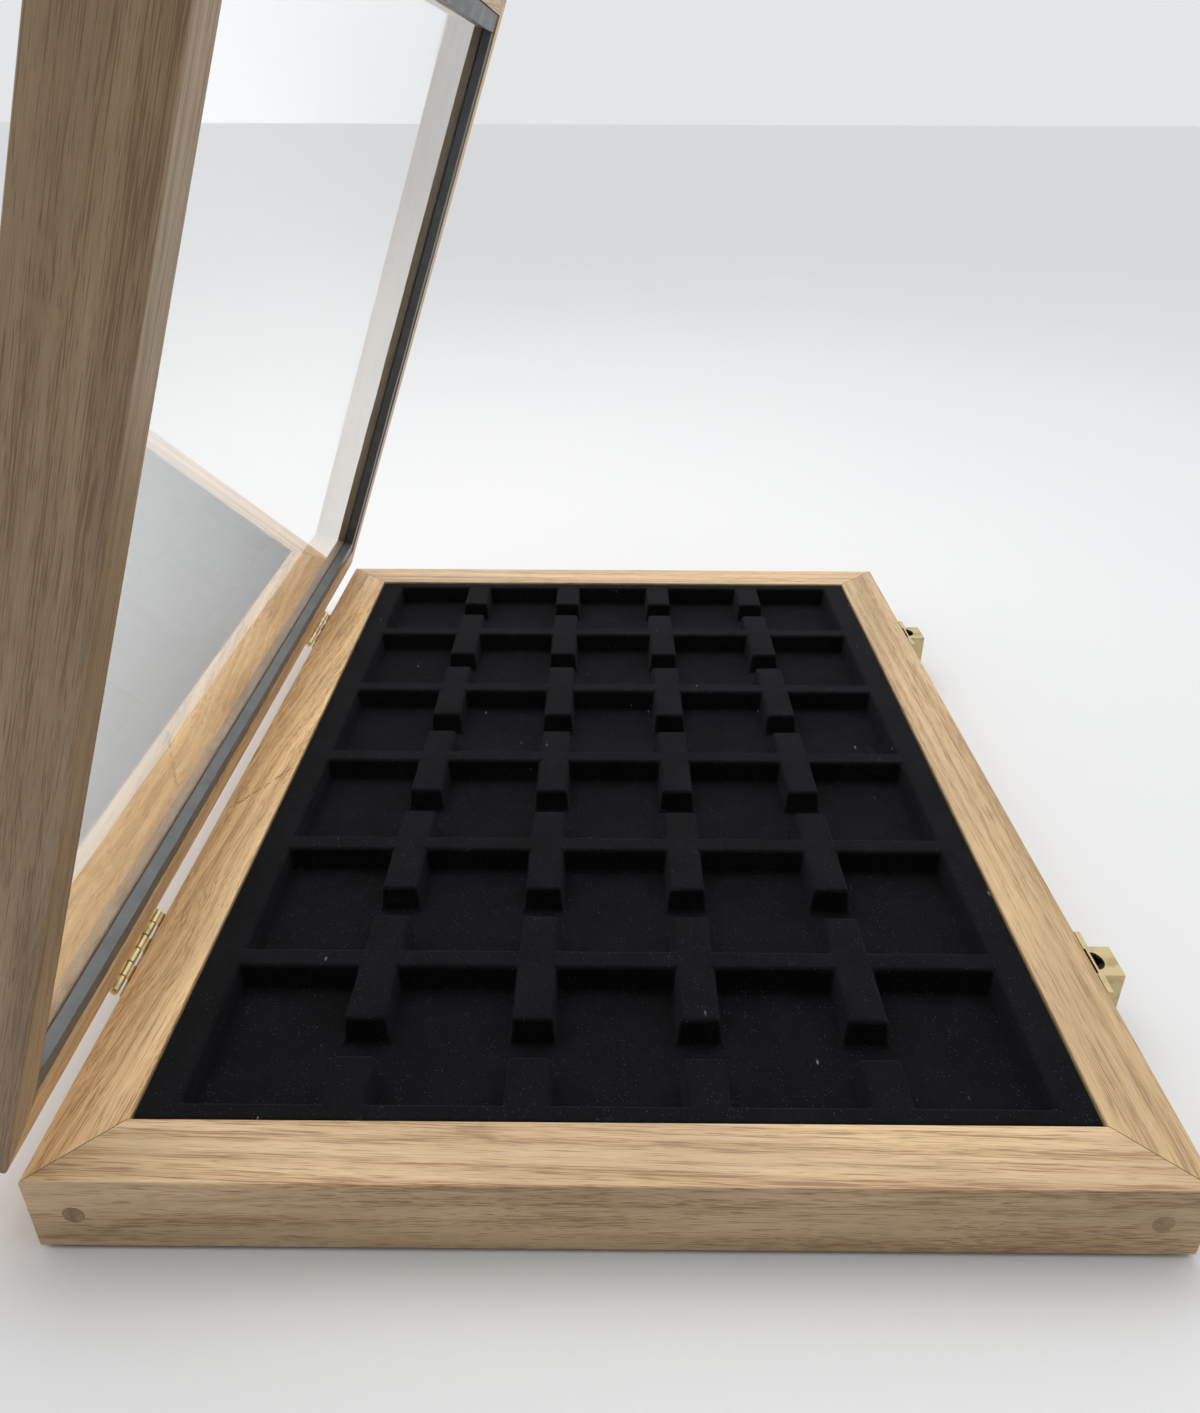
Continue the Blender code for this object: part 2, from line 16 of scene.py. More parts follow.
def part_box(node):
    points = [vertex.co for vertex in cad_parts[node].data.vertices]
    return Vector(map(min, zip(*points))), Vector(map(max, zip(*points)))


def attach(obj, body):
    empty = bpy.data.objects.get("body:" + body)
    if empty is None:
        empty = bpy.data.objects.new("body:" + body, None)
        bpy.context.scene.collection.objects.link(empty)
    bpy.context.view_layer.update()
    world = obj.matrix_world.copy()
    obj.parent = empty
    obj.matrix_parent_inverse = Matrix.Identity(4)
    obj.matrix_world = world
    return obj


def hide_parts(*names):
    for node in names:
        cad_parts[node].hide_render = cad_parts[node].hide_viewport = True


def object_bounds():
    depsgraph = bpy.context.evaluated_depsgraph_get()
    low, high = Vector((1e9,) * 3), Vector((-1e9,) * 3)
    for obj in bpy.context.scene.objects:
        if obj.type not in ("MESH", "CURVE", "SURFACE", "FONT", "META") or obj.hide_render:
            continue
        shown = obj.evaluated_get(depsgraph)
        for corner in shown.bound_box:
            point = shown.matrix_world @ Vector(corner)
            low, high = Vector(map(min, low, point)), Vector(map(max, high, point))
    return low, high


bl_info = {
    "name": "Oak Coin Display Case",
    "version": (1, 0, 0),
    "blender": (4, 5, 0),
    "location": "View3D > Sidebar > Display Case",
    "description": "Fine pieces, finishes and stage for an oak display case with a flocked tray",
    "category": "Object",
}

MM = 0.001
TINY = 0.002 * MM                # points closer than this are one
QUARTER = math.pi / 2

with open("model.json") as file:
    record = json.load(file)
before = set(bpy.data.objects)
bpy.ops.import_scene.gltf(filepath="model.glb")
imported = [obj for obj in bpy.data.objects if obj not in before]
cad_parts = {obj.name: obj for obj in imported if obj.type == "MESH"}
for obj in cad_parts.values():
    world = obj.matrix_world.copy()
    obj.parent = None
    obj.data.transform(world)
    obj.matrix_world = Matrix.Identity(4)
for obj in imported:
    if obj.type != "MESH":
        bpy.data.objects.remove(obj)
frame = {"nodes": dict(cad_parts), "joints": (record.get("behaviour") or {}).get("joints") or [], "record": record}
CAD_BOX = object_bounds()
NODES = frame["nodes"]
RECORD = frame["record"]
OWNERS = {node: body for body, nodes in RECORD["behaviour"]["bodies"].items() for node in nodes}
LID_HINGE = next(joint for joint in frame["joints"] if joint["name"] == "lid_hinge")
PIN = Vector(LID_HINGE["pos_m"])
LID_OPEN = math.radians(-LID_HINGE["range_deg"][0])
OPENING = Matrix.Translation(PIN) @ Matrix.Rotation(-LID_OPEN, 4, "Y") @ Matrix.Translation(-PIN)
SIDES = ("front", "right", "back", "left")
ENDS = ("front", "back")

RABBET_SIDE_ROOM = 0.5 * MM      # a rabbet is this much wider than what lies in it
RABBET_TOP_ROOM = 0.3 * MM       # and this much deeper
DOWEL_EASE = 0.1 * MM            # a fine dowel is this much bigger in radius than the CAD's
FINE_ROUND = 0.3 * MM            # rounding of dowel ends, feet and the pane's edges
STRIP_ROUND = 0.45 * MM
SPRING_ROUND = 0.08 * MM
LEAF_THICKNESS = 1.25 * MM
LEAF_CORNER = 1.6 * MM
LEAF_CLEARANCE = 0.05 * MM       # between a barrel and the edge of its plate
BARREL_ROUND = 0.4 * MM
WEB_REACH = 0.6 * MM             # how far a knuckle's web runs into the plate
WEB_INSET = 0.2 * MM             # how much shorter the web is than its barrel
SHANK_RADIUS = 1.3 * MM
SLOT_WIDTH = 0.7 * MM
SLOT_DEPTH = 0.55 * MM
SLOT_DRAFT = 0.02 * MM
SCREW_SIDES = 28
SCREW_TURN = 1.1                 # radians between the slots of one screw and the next
FLOOR_DROP = 0.05 * MM           # the floor lies this far under the feet
FLOOR_REACH = 40.0               # and this far out, in metres
SURROUNDINGS_SHOWN = 0.80        # strength of the surroundings as the camera sees them


# ---- sizes and colours a user would change ----

class CaseShapeSettings(bpy.types.PropertyGroup):
    """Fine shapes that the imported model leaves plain."""
    arris: FloatProperty(
        name="Arris", description="Rounding of the rails' long edges", default=1.1 * MM, min=0, unit="LENGTH")
    joint: FloatProperty(
        name="Mitre joint", description="Open line at each mitre", default=0.12 * MM, min=0, unit="LENGTH")
    draft: FloatProperty(
        name="Pocket draft", description="How far a pocket narrows to its floor", default=1.4 * MM, min=0,
        unit="LENGTH")
    flock_round: FloatProperty(
        name="Flock rounding", description="Rounding of the tray's edges", default=2.1 * MM, min=0,
        unit="LENGTH")
    metal_round: FloatProperty(
        name="Metal rounding", description="Rounding of the brass edges", default=0.22 * MM, min=0,
        unit="LENGTH")
    strip_wave: FloatProperty(
        name="Strip waviness", description="How far the glazing strips wander", default=0.5 * MM, min=0,
        unit="LENGTH")
    dowel_proud: FloatProperty(
        name="Dowel end", description="How far a dowel's end stands proud", default=0.12 * MM, min=0,
        unit="LENGTH")


def colour_property(name, description, default):
    return FloatVectorProperty(
        name=name, description=description, default=default, size=3, min=0, max=1, subtype="COLOR")


class CaseFinishSettings(bpy.types.PropertyGroup):
    """Colours of wood, flock, metal and stage."""
    oak_pale: colour_property("Pale oak", "Late wood between the pores", (0.72, 0.515, 0.30))
    oak_deep: colour_property("Deep oak", "Early wood where the pores gather", (0.585, 0.385, 0.20))
    oak_pore: colour_property("Pores", "Open pores of the oak", (0.23, 0.12, 0.052))
    flock: colour_property("Flock", "Pile on the tray", (0.0032, 0.0032, 0.0042))
    lint: colour_property("Lint", "Dust caught in the pile", (0.16, 0.16, 0.17))
    brass: colour_property("Brass", "Hinges, catches and screws", (0.72, 0.60, 0.33))
    tarnish: colour_property("Tarnish", "Dull patches on the brass", (0.42, 0.32, 0.15))
    strip: colour_property("Glazing strip", "Flexible strips that hold the glass", (0.078, 0.081, 0.083))
    floor: colour_property("Floor", "Plain floor under the case", (0.80, 0.80, 0.80))


class CaseStageSettings(bpy.types.PropertyGroup):
    """Camera and light."""
    eye: FloatVectorProperty(
        name="Eye", description="Where the camera stands", default=(-0.0063, -0.6393, 0.4251), size=3,
        subtype="XYZ", unit="LENGTH")
    pitch: FloatProperty(
        name="Pitch", description="Camera's tilt below the horizon", default=math.radians(28.56),
        subtype="ANGLE")
    heading: FloatProperty(
        name="Heading", description="Camera's turn to the left of +Y", default=math.radians(0.31),
        subtype="ANGLE")
    roll: FloatProperty(
        name="Roll", description="Camera's roll", default=math.radians(0.2), subtype="ANGLE")
    lens: FloatProperty(
        name="Lens", description="Focal length in millimetres on a 36 mm long side", default=27.94, min=1)
    key_power: FloatProperty(
        name="Key light", description="Power of the overhead soft light", default=14.2, min=0, unit="POWER")
    sky: FloatProperty(
        name="Sky", description="Strength of the light from above and behind", default=1.10, min=0)
    dim: FloatProperty(
        name="Dim side", description="Strength of the light from the camera's side", default=0.03, min=0)


def shape():
    return bpy.context.scene.case_shape


def finish():
    return bpy.context.scene.case_finish


# ---- node trees ----

class Bench:
    """Adds nodes to one tree and wires them as they come."""

    def __init__(self, tree):
        self.tree = tree

    def feed(self, socket, value):
        if isinstance(value, bpy.types.NodeSocket):
            self.tree.links.new(value, socket)
        else:
            socket.default_value = value

    def add(self, kind, inputs=None, **settings):
        node = self.tree.nodes.new(kind)
        for key, value in settings.items():
            setattr(node, key, value)
        for key, value in (inputs or {}).items():
            self.feed(node.inputs[key], value)
        return node

    def math(self, operation, *values, clamp=False):
        node = self.add("ShaderNodeMath", operation=operation, use_clamp=clamp)
        for socket, value in zip(node.inputs, values):
            self.feed(socket, value)
        return node.outputs[0]

    def vector(self, operation, *values, output="Vector"):
        node = self.add("ShaderNodeVectorMath", operation=operation)
        for socket, value in zip(node.inputs, values):
            self.feed(socket, value)
        return node.outputs[output]

    def split(self, vector):
        return self.add("ShaderNodeSeparateXYZ", {0: vector}).outputs

    def combine(self, x, y, z):
        return self.add("ShaderNodeCombineXYZ", {0: x, 1: y, 2: z}).outputs[0]

    def product(self, first, second):
        return self.math("MULTIPLY", first, second)

    def stretch(self, vector, factors):
        return self.vector("MULTIPLY", vector, factors)

    def grain(self, vector, scale=1.0, detail=2.0, roughness=0.5):
        node = self.add("ShaderNodeTexNoise", {
            "Vector": vector, "Scale": scale, "Detail": detail, "Roughness": roughness})
        return node.outputs["Fac"]

    def step(self, value, low, high, to_low=0.0, to_high=1.0):
        """A smooth step of a value between low and high."""
        node = self.add("ShaderNodeMapRange", {
            "Value": value, "From Min": low, "From Max": high, "To Min": to_low, "To Max": to_high},
            interpolation_type="SMOOTHSTEP")
        return node.outputs[0]

    def mix(self, factor, first, second, blend="MIX"):
        node = self.add("ShaderNodeMix", data_type="RGBA", blend_type=blend)
        self.feed(node.inputs[0], factor)
        self.feed(node.inputs[6], first)
        self.feed(node.inputs[7], second)
        return node.outputs[2]


def new_group(name, inputs, outputs):
    """An empty node group; inputs map a label to its kind and default, outputs a label to its kind."""
    group = bpy.data.node_groups.new(name, "ShaderNodeTree")
    for label, (kind, default) in inputs.items():
        socket = group.interface.new_socket(label, in_out="INPUT", socket_type="NodeSocket" + kind)
        if default is not None:
            socket.default_value = default
    for label, kind in outputs.items():
        group.interface.new_socket(label, in_out="OUTPUT", socket_type="NodeSocket" + kind)
    bench = Bench(group)
    source = bench.add("NodeGroupInput").outputs
    sink = bench.add("NodeGroupOutput").inputs
    return group, bench, source, sink


def build_oak_grain():
    """Open-pored oak. Board is the place in the board: along the grain, across it, and through it."""
    group, bench, given, out = new_group("oak_grain", {
        "Board": ("Vector", None),
        "Pale": ("Color", (0.6, 0.4, 0.2, 1)),
        "Deep": ("Color", (0.5, 0.3, 0.13, 1)),
        "Pore": ("Color", (0.17, 0.08, 0.03, 1)),
        "Slope": ("Float", 0.04),
        "Figure": ("Float", 0.004),
        "Pore Strength": ("Float", 0.8),
    }, {"Color": "Color", "Roughness": "Float", "Height": "Float"})
    along, across, through = bench.split(given["Board"])[:3]
    wander_at = bench.stretch(given["Board"], (5.0, 16.0, 16.0))
    wander = bench.math("SUBTRACT", bench.grain(wander_at, detail=3.0), 0.5)
    swing = bench.product(wander, given["Figure"])
    lean = bench.product(along, given["Slope"])
    across = bench.math("ADD", bench.math("ADD", across, lean), swing)
    through = bench.math("ADD", through, bench.product(swing, 0.6))
    fibre_at = bench.combine(along, across, through)

    rings_at = bench.stretch(fibre_at, (3.0, 210.0, 120.0))
    rings = bench.step(bench.grain(rings_at, detail=3.0, roughness=0.55), 0.36, 0.64)
    broad_at = bench.stretch(fibre_at, (6.0, 38.0, 38.0))
    broad = bench.grain(broad_at, detail=2.0)
    fine_at = bench.stretch(fibre_at, (60.0, 2600.0, 2600.0))
    fine = bench.grain(fine_at, detail=2.0)

    pore_at = bench.stretch(fibre_at, (58.0, 2500.0, 2500.0))
    pore_field = bench.grain(pore_at, detail=2.0, roughness=0.45)
    long_at = bench.stretch(fibre_at, (26.0, 1800.0, 1800.0))
    long_field = bench.grain(long_at, detail=1.0, roughness=0.4)
    crowd = bench.product(bench.math("SUBTRACT", rings, 0.5), 0.11)
    short_pores = bench.step(bench.math("ADD", pore_field, crowd), 0.56, 0.68)
    long_pores = bench.step(bench.math("ADD", long_field, crowd), 0.575, 0.69)
    pores = bench.math("MAXIMUM", short_pores, long_pores)
    pores = bench.math("MULTIPLY", pores, given["Pore Strength"], clamp=True)

    wood = bench.mix(bench.product(rings, 0.7), given["Pale"], given["Deep"])
    shade = bench.step(broad, 0.25, 0.75, 0.84, 1.12)
    shade = bench.product(shade, bench.step(fine, 0.2, 0.8, 0.86, 1.12))
    wood = bench.mix(1.0, wood, bench.combine(shade, shade, shade), blend="MULTIPLY")
    bench.feed(out["Color"], bench.mix(pores, wood, given["Pore"]))
    bench.feed(out["Roughness"], bench.math("ADD", 0.40, bench.product(pores, 0.22)))
    height = bench.math("SUBTRACT", bench.product(fine, 0.25), pores)
    bench.feed(out["Height"], height)
    return group


def build_streak_mark():
    """Mask of a mineral streak: a ragged line through Centre, reaching Run to each side."""
    group, bench, given, out = new_group("streak_mark", {
        "Board": ("Vector", None),
        "Centre": ("Vector", (0, 0, 0)),
        "Run": ("Vector", (0.02, 0, 0)),
        "Width": ("Float", 0.002),
        "Broken": ("Float", 0.5),
    }, {"Mask": "Float"})
    away = bench.vector("SUBTRACT", given["Board"], given["Centre"])
    flat = bench.stretch(away, (1.0, 1.0, 0.3))
    run_square = bench.vector("DOT_PRODUCT", given["Run"], given["Run"], output="Value")
    along = bench.vector("DOT_PRODUCT", flat, given["Run"], output="Value")
    place = bench.math("DIVIDE", along, run_square)
    nearest = bench.add("ShaderNodeVectorMath", {0: given["Run"], "Scale": place}, operation="SCALE")
    foot = nearest.outputs[0]
    aside = bench.vector("LENGTH", bench.vector("SUBTRACT", flat, foot), output="Value")
    wobble = bench.grain(given["Board"], scale=180.0, detail=2.0)
    ragged = bench.product(bench.math("SUBTRACT", wobble, 0.5), given["Width"])
    aside = bench.math("ADD", aside, ragged)
    body = bench.math("SUBTRACT", 1.0, bench.math("DIVIDE", aside, given["Width"]), clamp=True)
    ends = bench.step(bench.math("ABSOLUTE", place), 1.0, 0.6)
    dots = bench.step(bench.grain(given["Board"], scale=420.0, detail=1.0), 0.38, 0.56)
    unbroken = bench.math("SUBTRACT", 1.0, given["Broken"])
    gaps = bench.math("ADD", bench.product(dots, given["Broken"]), unbroken)
    mask = bench.product(bench.product(body, ends), gaps)
    bench.feed(out["Mask"], mask)
    return group


def build_speckle():
    """Sparse specks and short fibres, as a mask, and a soft cloud of wear."""
    group, bench, given, out = new_group("speckle", {
        "Vector": ("Vector", None),
        "Scale": ("Float", 300.0),
        "Share": ("Float", 0.1),
    }, {"Specks": "Float", "Cloud": "Float"})
    cells = bench.add("ShaderNodeTexVoronoi", {"Vector": given["Vector"], "Scale": given["Scale"]})
    tint = bench.split(cells.outputs["Color"])[0]
    chosen = bench.math("LESS_THAN", tint, given["Share"])
    dot = bench.step(cells.outputs["Distance"], 0.24, 0.10)
    bench.feed(out["Specks"], bench.product(chosen, dot))
    cloud_scale = bench.product(given["Scale"], 0.12)
    bench.feed(out["Cloud"], bench.grain(given["Vector"], scale=cloud_scale, detail=4.0, roughness=0.6))
    return group


GROUPS = {}


def group_node(bench, name, inputs):
    """Place a shared group in a material; it is built the first time it is asked for."""
    builders = {"oak_grain": build_oak_grain, "streak_mark": build_streak_mark, "speckle": build_speckle}
    if name not in GROUPS:
        GROUPS[name] = builders[name]()
    node = bench.add("ShaderNodeGroup", node_tree=GROUPS[name])
    for key, value in inputs.items():
        bench.feed(node.inputs[key], value)
    return node.outputs


def new_material(name, **values):
    """A material with one Principled shader whose plain values are given by socket name."""
    material = bpy.data.materials.new(name)
    material.use_nodes = True
    bench = Bench(material.node_tree)
    shader = material.node_tree.nodes["Principled BSDF"].inputs
    for key, value in values.items():
        shader[key.replace("_", " ")].default_value = value
    place = bench.add("ShaderNodeTexCoord").outputs["Object"]
    return material, bench, shader, place


def bump(bench, shader, height, distance, strength=0.6):
    node = bench.add("ShaderNodeBump", {"Height": height, "Distance": distance, "Strength": strength})
    bench.feed(shader["Normal"], node.outputs[0])


def toned(colour, tone=(1, 1, 1)):
    """A colour with its alpha, darkened or tinted by a tone for red, green and blue."""
    return (colour[0] * tone[0], colour[1] * tone[1], colour[2] * tone[2], 1.0)


def shaded(colour, factor):
    return toned(colour, (factor, factor, factor))


def oak_material(name, offset, slope, figure, tone=(1, 1, 1), pores=0.8, marks=(), board=None):
    """Oak for one board: its own part of the grain, its tone, and any mineral streaks on it."""
    material, bench, shader, place = new_material(name, Specular_IOR_Level=0.38)
    if board is None:
        local = bench.add("ShaderNodeAttribute", attribute_name="board").outputs["Vector"]
    else:
        axes = bench.split(place)
        local = bench.combine(*[axes[axis] for axis in board])
    grain = group_node(bench, "oak_grain", {
        "Board": bench.vector("ADD", local, offset),
        "Pale": toned(finish().oak_pale, tone),
        "Deep": toned(finish().oak_deep, tone),
        "Pore": toned(finish().oak_pore, tone),
        "Slope": slope, "Figure": figure, "Pore Strength": pores})
    colour = grain["Color"]
    for centre, run, width, broken, depth in marks:
        mask = group_node(bench, "streak_mark", {
            "Board": local, "Centre": centre, "Run": run, "Width": width, "Broken": broken})["Mask"]
        colour = bench.mix(bench.product(mask, depth), colour, toned(finish().oak_pore, tone))
    bench.feed(shader["Base Color"], colour)
    bench.feed(shader["Roughness"], grain["Roughness"])
    bump(bench, shader, grain["Height"], 0.12 * MM, 0.5)
    return material


def flock_material():
    material, bench, shader, place = new_material(
        "flock", Sheen_Weight=0.02, Sheen_Roughness=0.42, Specular_IOR_Level=0.12,
        Sheen_Tint=(0.7, 0.75, 0.9, 1))
    pile = bench.grain(place, scale=1500.0, detail=3.0, roughness=0.7)
    brushed = bench.grain(place, scale=38.0, detail=4.0, roughness=0.6)
    nap = bench.math("ADD", bench.product(pile, 0.7), bench.product(brushed, 0.5))
    deep = shaded(finish().flock, 0.35)
    light = shaded(finish().flock, 1.9)
    base = bench.mix(bench.step(nap, 0.38, 0.82), deep, light)
    dust = group_node(bench, "speckle", {"Vector": place, "Scale": 1000.0, "Share": 0.24})
    fibre_at = bench.stretch(place, (1.0, 0.3, 1.0))
    fibres = group_node(bench, "speckle", {"Vector": fibre_at, "Scale": 300.0, "Share": 0.010})
    patches = bench.step(dust["Cloud"], 0.42, 0.62, 0.15, 1.0)
    specks = bench.product(bench.math("MAXIMUM", dust["Specks"], fibres["Specks"]), patches)
    bench.feed(shader["Base Color"], bench.mix(specks, base, toned(finish().lint)))
    bench.feed(shader["Roughness"], bench.step(pile, 0.2, 0.8, 0.85, 1.0))
    bump(bench, shader, pile, 0.5 * MM, 0.9)
    return material


def brass_material(name="brass", tone=(1, 1, 1)):
    material, bench, shader, place = new_material(name, Metallic=1.0)
    wear = group_node(bench, "speckle", {"Vector": place, "Scale": 900.0, "Share": 0.12})
    bright = toned(finish().brass, tone)
    dull = toned(finish().tarnish, tone)
    patch = bench.step(wear["Cloud"], 0.46, 0.70)
    spotted = bench.math("MAXIMUM", bench.product(wear["Specks"], 0.5), patch)
    brushed = bench.grain(bench.stretch(place, (2400.0, 260.0, 2400.0)), detail=2.0)
    bench.feed(shader["Base Color"], bench.mix(bench.product(spotted, 0.75), bright, dull))
    polish = bench.step(brushed, 0.2, 0.8, 0.24, 0.38)
    bench.feed(shader["Roughness"], bench.math("ADD", polish, bench.product(patch, 0.12)))
    bump(bench, shader, brushed, 0.02 * MM, 0.4)
    return material


def steel_material():
    material, bench, shader, place = new_material("spring_steel", Metallic=1.0)
    rolled = bench.grain(bench.stretch(place, (2600.0, 2600.0, 300.0)), detail=2.0)
    bench.feed(shader["Base Color"], bench.mix(rolled, (0.34, 0.33, 0.32, 1), (0.56, 0.55, 0.53, 1)))
    bench.feed(shader["Roughness"], bench.step(rolled, 0.2, 0.8, 0.28, 0.42))
    return material


def glass_material():
    material, bench, shader, place = new_material(
        "glass", Transmission_Weight=1.0, IOR=1.5, Base_Color=(0.985, 0.995, 0.99, 1))
    smear = bench.grain(bench.stretch(place, (9.0, 16.0, 9.0)), detail=4.0, roughness=0.6)
    bench.feed(shader["Roughness"], bench.step(smear, 0.45, 0.80, 0.0, 0.035))
    tree = material.node_tree.nodes
    clear = bench.add("ShaderNodeBsdfTransparent", {"Color": (0.97, 0.985, 0.975, 1)})
    shadow = bench.add("ShaderNodeLightPath").outputs["Is Shadow Ray"]
    let_light = bench.add("ShaderNodeMixShader", {
        0: shadow, 1: tree["Principled BSDF"].outputs[0], 2: clear.outputs[0]})
    bench.feed(tree["Material Output"].inputs["Surface"], let_light.outputs[0])
    return material


def strip_material():
    material, bench, shader, place = new_material("glazing_strip", Specular_IOR_Level=0.6)
    cloud = bench.grain(place, scale=70.0, detail=4.0, roughness=0.6)
    skin = bench.grain(place, scale=1400.0, detail=2.0)
    low = shaded(finish().strip, 0.8)
    high = shaded(finish().strip, 1.35)
    bench.feed(shader["Base Color"], bench.mix(bench.step(cloud, 0.3, 0.7), low, high))
    bench.feed(shader["Roughness"], bench.step(cloud, 0.3, 0.7, 0.34, 0.52))
    bump(bench, shader, skin, 0.06 * MM, 0.4)
    return material


def plain_grain_material(name):
    """Plywood, foam or rubber: two tones in a stretched or even grain."""
    low, high, scale, roughness, bump_distance = PLAIN_GRAINS[name]
    material, bench, shader, place = new_material(name)
    even = bench.grain(bench.stretch(place, scale), detail=3.0, roughness=0.65)
    bench.feed(shader["Base Color"], bench.mix(bench.step(even, 0.3, 0.7), low, high))
    bench.feed(shader["Roughness"], bench.step(even, 0.3, 0.7, roughness, roughness + 0.1))
    bump(bench, shader, even, bump_distance, 0.5)
    return material


# ---- making and placing pieces ----

def shut_box(node):
    """Lowest and highest corner of a CAD node, with the lid shut."""
    back = OPENING.inverted() if OWNERS[node] == "lid" else Matrix()
    points = [back @ vertex.co for vertex in NODES[node].data.vertices]
    low = Vector([min(point[axis] for point in points) for axis in range(3)])
    high = Vector([max(point[axis] for point in points) for axis in range(3)])
    return low, high


def box_mesh(low, high):
    """A bmesh holding one closed box."""
    work = bmesh.new()
    bmesh.ops.create_cube(work, size=1.0)
    bmesh.ops.scale(work, vec=high - low, verts=work.verts)
    bmesh.ops.translate(work, vec=(low + high) / 2, verts=work.verts)
    return work


def sharp_edges(work, angle=30.0):
    limit = math.radians(angle)
    return [edge for edge in work.edges
            if len(edge.link_faces) == 2 and edge.calc_face_angle(0) > limit]


def round_edges(work, edges, radius, segments=2):
    bmesh.ops.bevel(work, geom=edges, offset=radius, offset_type="OFFSET", segments=segments, profile=0.5,
                    affect="EDGES", clamp_overlap=True, material=-1)


def everything(work):
    return [*work.verts, *work.edges, *work.faces]


def close_holes(work):
    rims = [edge for edge in work.edges if edge.is_boundary]
    bmesh.ops.holes_fill(work, edges=rims, sides=0)


def finish_piece(work, name, nodes, material, place=None, at_rest=False, board=False, smooth=35.0):
    """Write a bmesh to its object, put it where it rests, and let it stand for its CAD nodes."""
    bmesh.ops.remove_doubles(work, verts=work.verts, dist=TINY)
    bmesh.ops.recalc_face_normals(work, faces=work.faces)
    mesh = bpy.data.meshes.new(name)
    work.to_mesh(mesh)
    work.free()
    if board:
        local = [value for vertex in mesh.vertices for value in vertex.co]
        mesh.attributes.new("board", "FLOAT_VECTOR", "POINT").data.foreach_set("vector", local)
    if place is not None:
        mesh.transform(place)
    body = OWNERS[nodes[0]]
    if body == "lid" and not at_rest:
        mesh.transform(OPENING)
    mesh.shade_smooth()
    mesh.set_sharp_from_angle(angle=math.radians(smooth))
    mesh.materials.append(material)
    piece = bpy.data.objects.new(name, mesh)
    bpy.context.scene.collection.objects.link(piece)
    flats = piece.modifiers.new("even_flats", "WEIGHTED_NORMAL")
    flats.keep_sharp = True
    flats.weight = 100
    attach(piece, body)
    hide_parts(*nodes)
    return piece


def soften(node, material, radius, segments=2):
    """A copy of a CAD node with its sharp edges rounded."""
    work = bmesh.new()
    work.from_mesh(NODES[node].data)
    bmesh.ops.remove_doubles(work, verts=work.verts, dist=TINY)
    bmesh.ops.dissolve_limit(work, angle_limit=math.radians(1), verts=work.verts, edges=work.edges)
    round_edges(work, sharp_edges(work), radius, segments)
    return finish_piece(work, "fine_" + node, [node], material, at_rest=True)


def dress(node, material):
    """Give a CAD node that stays a procedural finish."""
    mesh = NODES[node].data
    mesh.materials.clear()
    mesh.materials.append(material)


# ---- rails and dowels ----

def rail_mesh(half_run, width, thickness, rabbet_width, rabbet_depth):
    """A mitred rail: x along it, y inwards from its outer face, z up from its lower face."""
    work = bmesh.new()
    section = [(0, 0), (width - rabbet_width, 0), (width - rabbet_width, rabbet_depth), (width, rabbet_depth),
               (width, thickness), (0, thickness)]
    start = work.faces.new([work.verts.new((-half_run, y, z)) for y, z in section])
    made = bmesh.ops.extrude_face_region(work, geom=[start])["geom"]
    moved = [item for item in made if isinstance(item, bmesh.types.BMVert)]
    bmesh.ops.translate(work, vec=(2 * half_run, 0, 0), verts=moved)
    rounded = [(0, 0), (width, rabbet_depth), (width, thickness), (0, thickness)]
    long_edges = []
    for edge in work.edges:
        first, second = (vertex.co for vertex in edge.verts)
        along = abs(first.x - second.x) > half_run
        if along and any((Vector(first.yz) - Vector(corner)).length < TINY for corner in rounded):
            long_edges.append(edge)
    round_edges(work, long_edges, shape().arris, 4)
    for end in (-1, 1):
        normal = Vector((end, 1, 0)).normalized()
        face = Vector((end * half_run, 0, 0)) - normal * shape().joint / 2
        bmesh.ops.bisect_plane(work, geom=everything(work), plane_co=face, plane_no=normal, clear_outer=True)
        close_holes(work)
    return work


# Grain of each board: slope, figure in metres, tone, pore strength. The lid's front rail is toned darker than
# its neighbours, to look as if it stood in shade when the lid is open.
OAK_BOARDS = {
    "base_rail_front": (0.030, 0.006, (0.98, 0.97, 0.96), 0.66),
    "base_rail_right": (-0.010, 0.003, (0.83, 0.81, 0.73), 0.58),
    "base_rail_back": (0.020, 0.005, (1.0, 0.98, 0.95), 0.62),
    "base_rail_left": (0.070, 0.026, (1.16, 1.10, 0.98), 0.64),
    "lid_rail_front": (-0.012, 0.006, (0.54, 0.53, 0.54), 0.46),
    "lid_rail_right": (0.010, 0.004, (1.0, 0.98, 0.95), 0.62),
    "lid_rail_back": (0.012, 0.005, (1.0, 1.0, 1.0), 0.56),
    "lid_rail_left": (0.050, 0.018, (1.08, 1.0, 0.90), 0.62),
}

# Streaks on a board: centre, reach, width, how broken, how dark.
OAK_MARKS = {
    "base_rail_front": [((-0.0605, 0.0255, 0.040), (0.011, -0.0038, 0), 3.2 * MM, 0.1, 0.42)],
    "base_rail_left": [((0.044, 0.0175, 0.040), (-0.030, 0.0165, 0), 1.5 * MM, 0.95, 0.95),
                       ((0.010, 0.009, 0.040), (0.060, -0.006, 0), 5.0 * MM, 0.3, 0.30)],
}


def board_place(prefix, side, bottom):
    """Turn and carry a rail from its own frame to its side of the case."""
    low, high = shut_box(f"{prefix}_rail_{side}")
    out = {"front": -low.y, "back": high.y, "left": -low.x, "right": high.x}[side]
    turn = Matrix.Rotation(SIDES.index(side) * QUARTER, 4, "Z")
    return turn @ Matrix.Translation((0, -out, bottom))


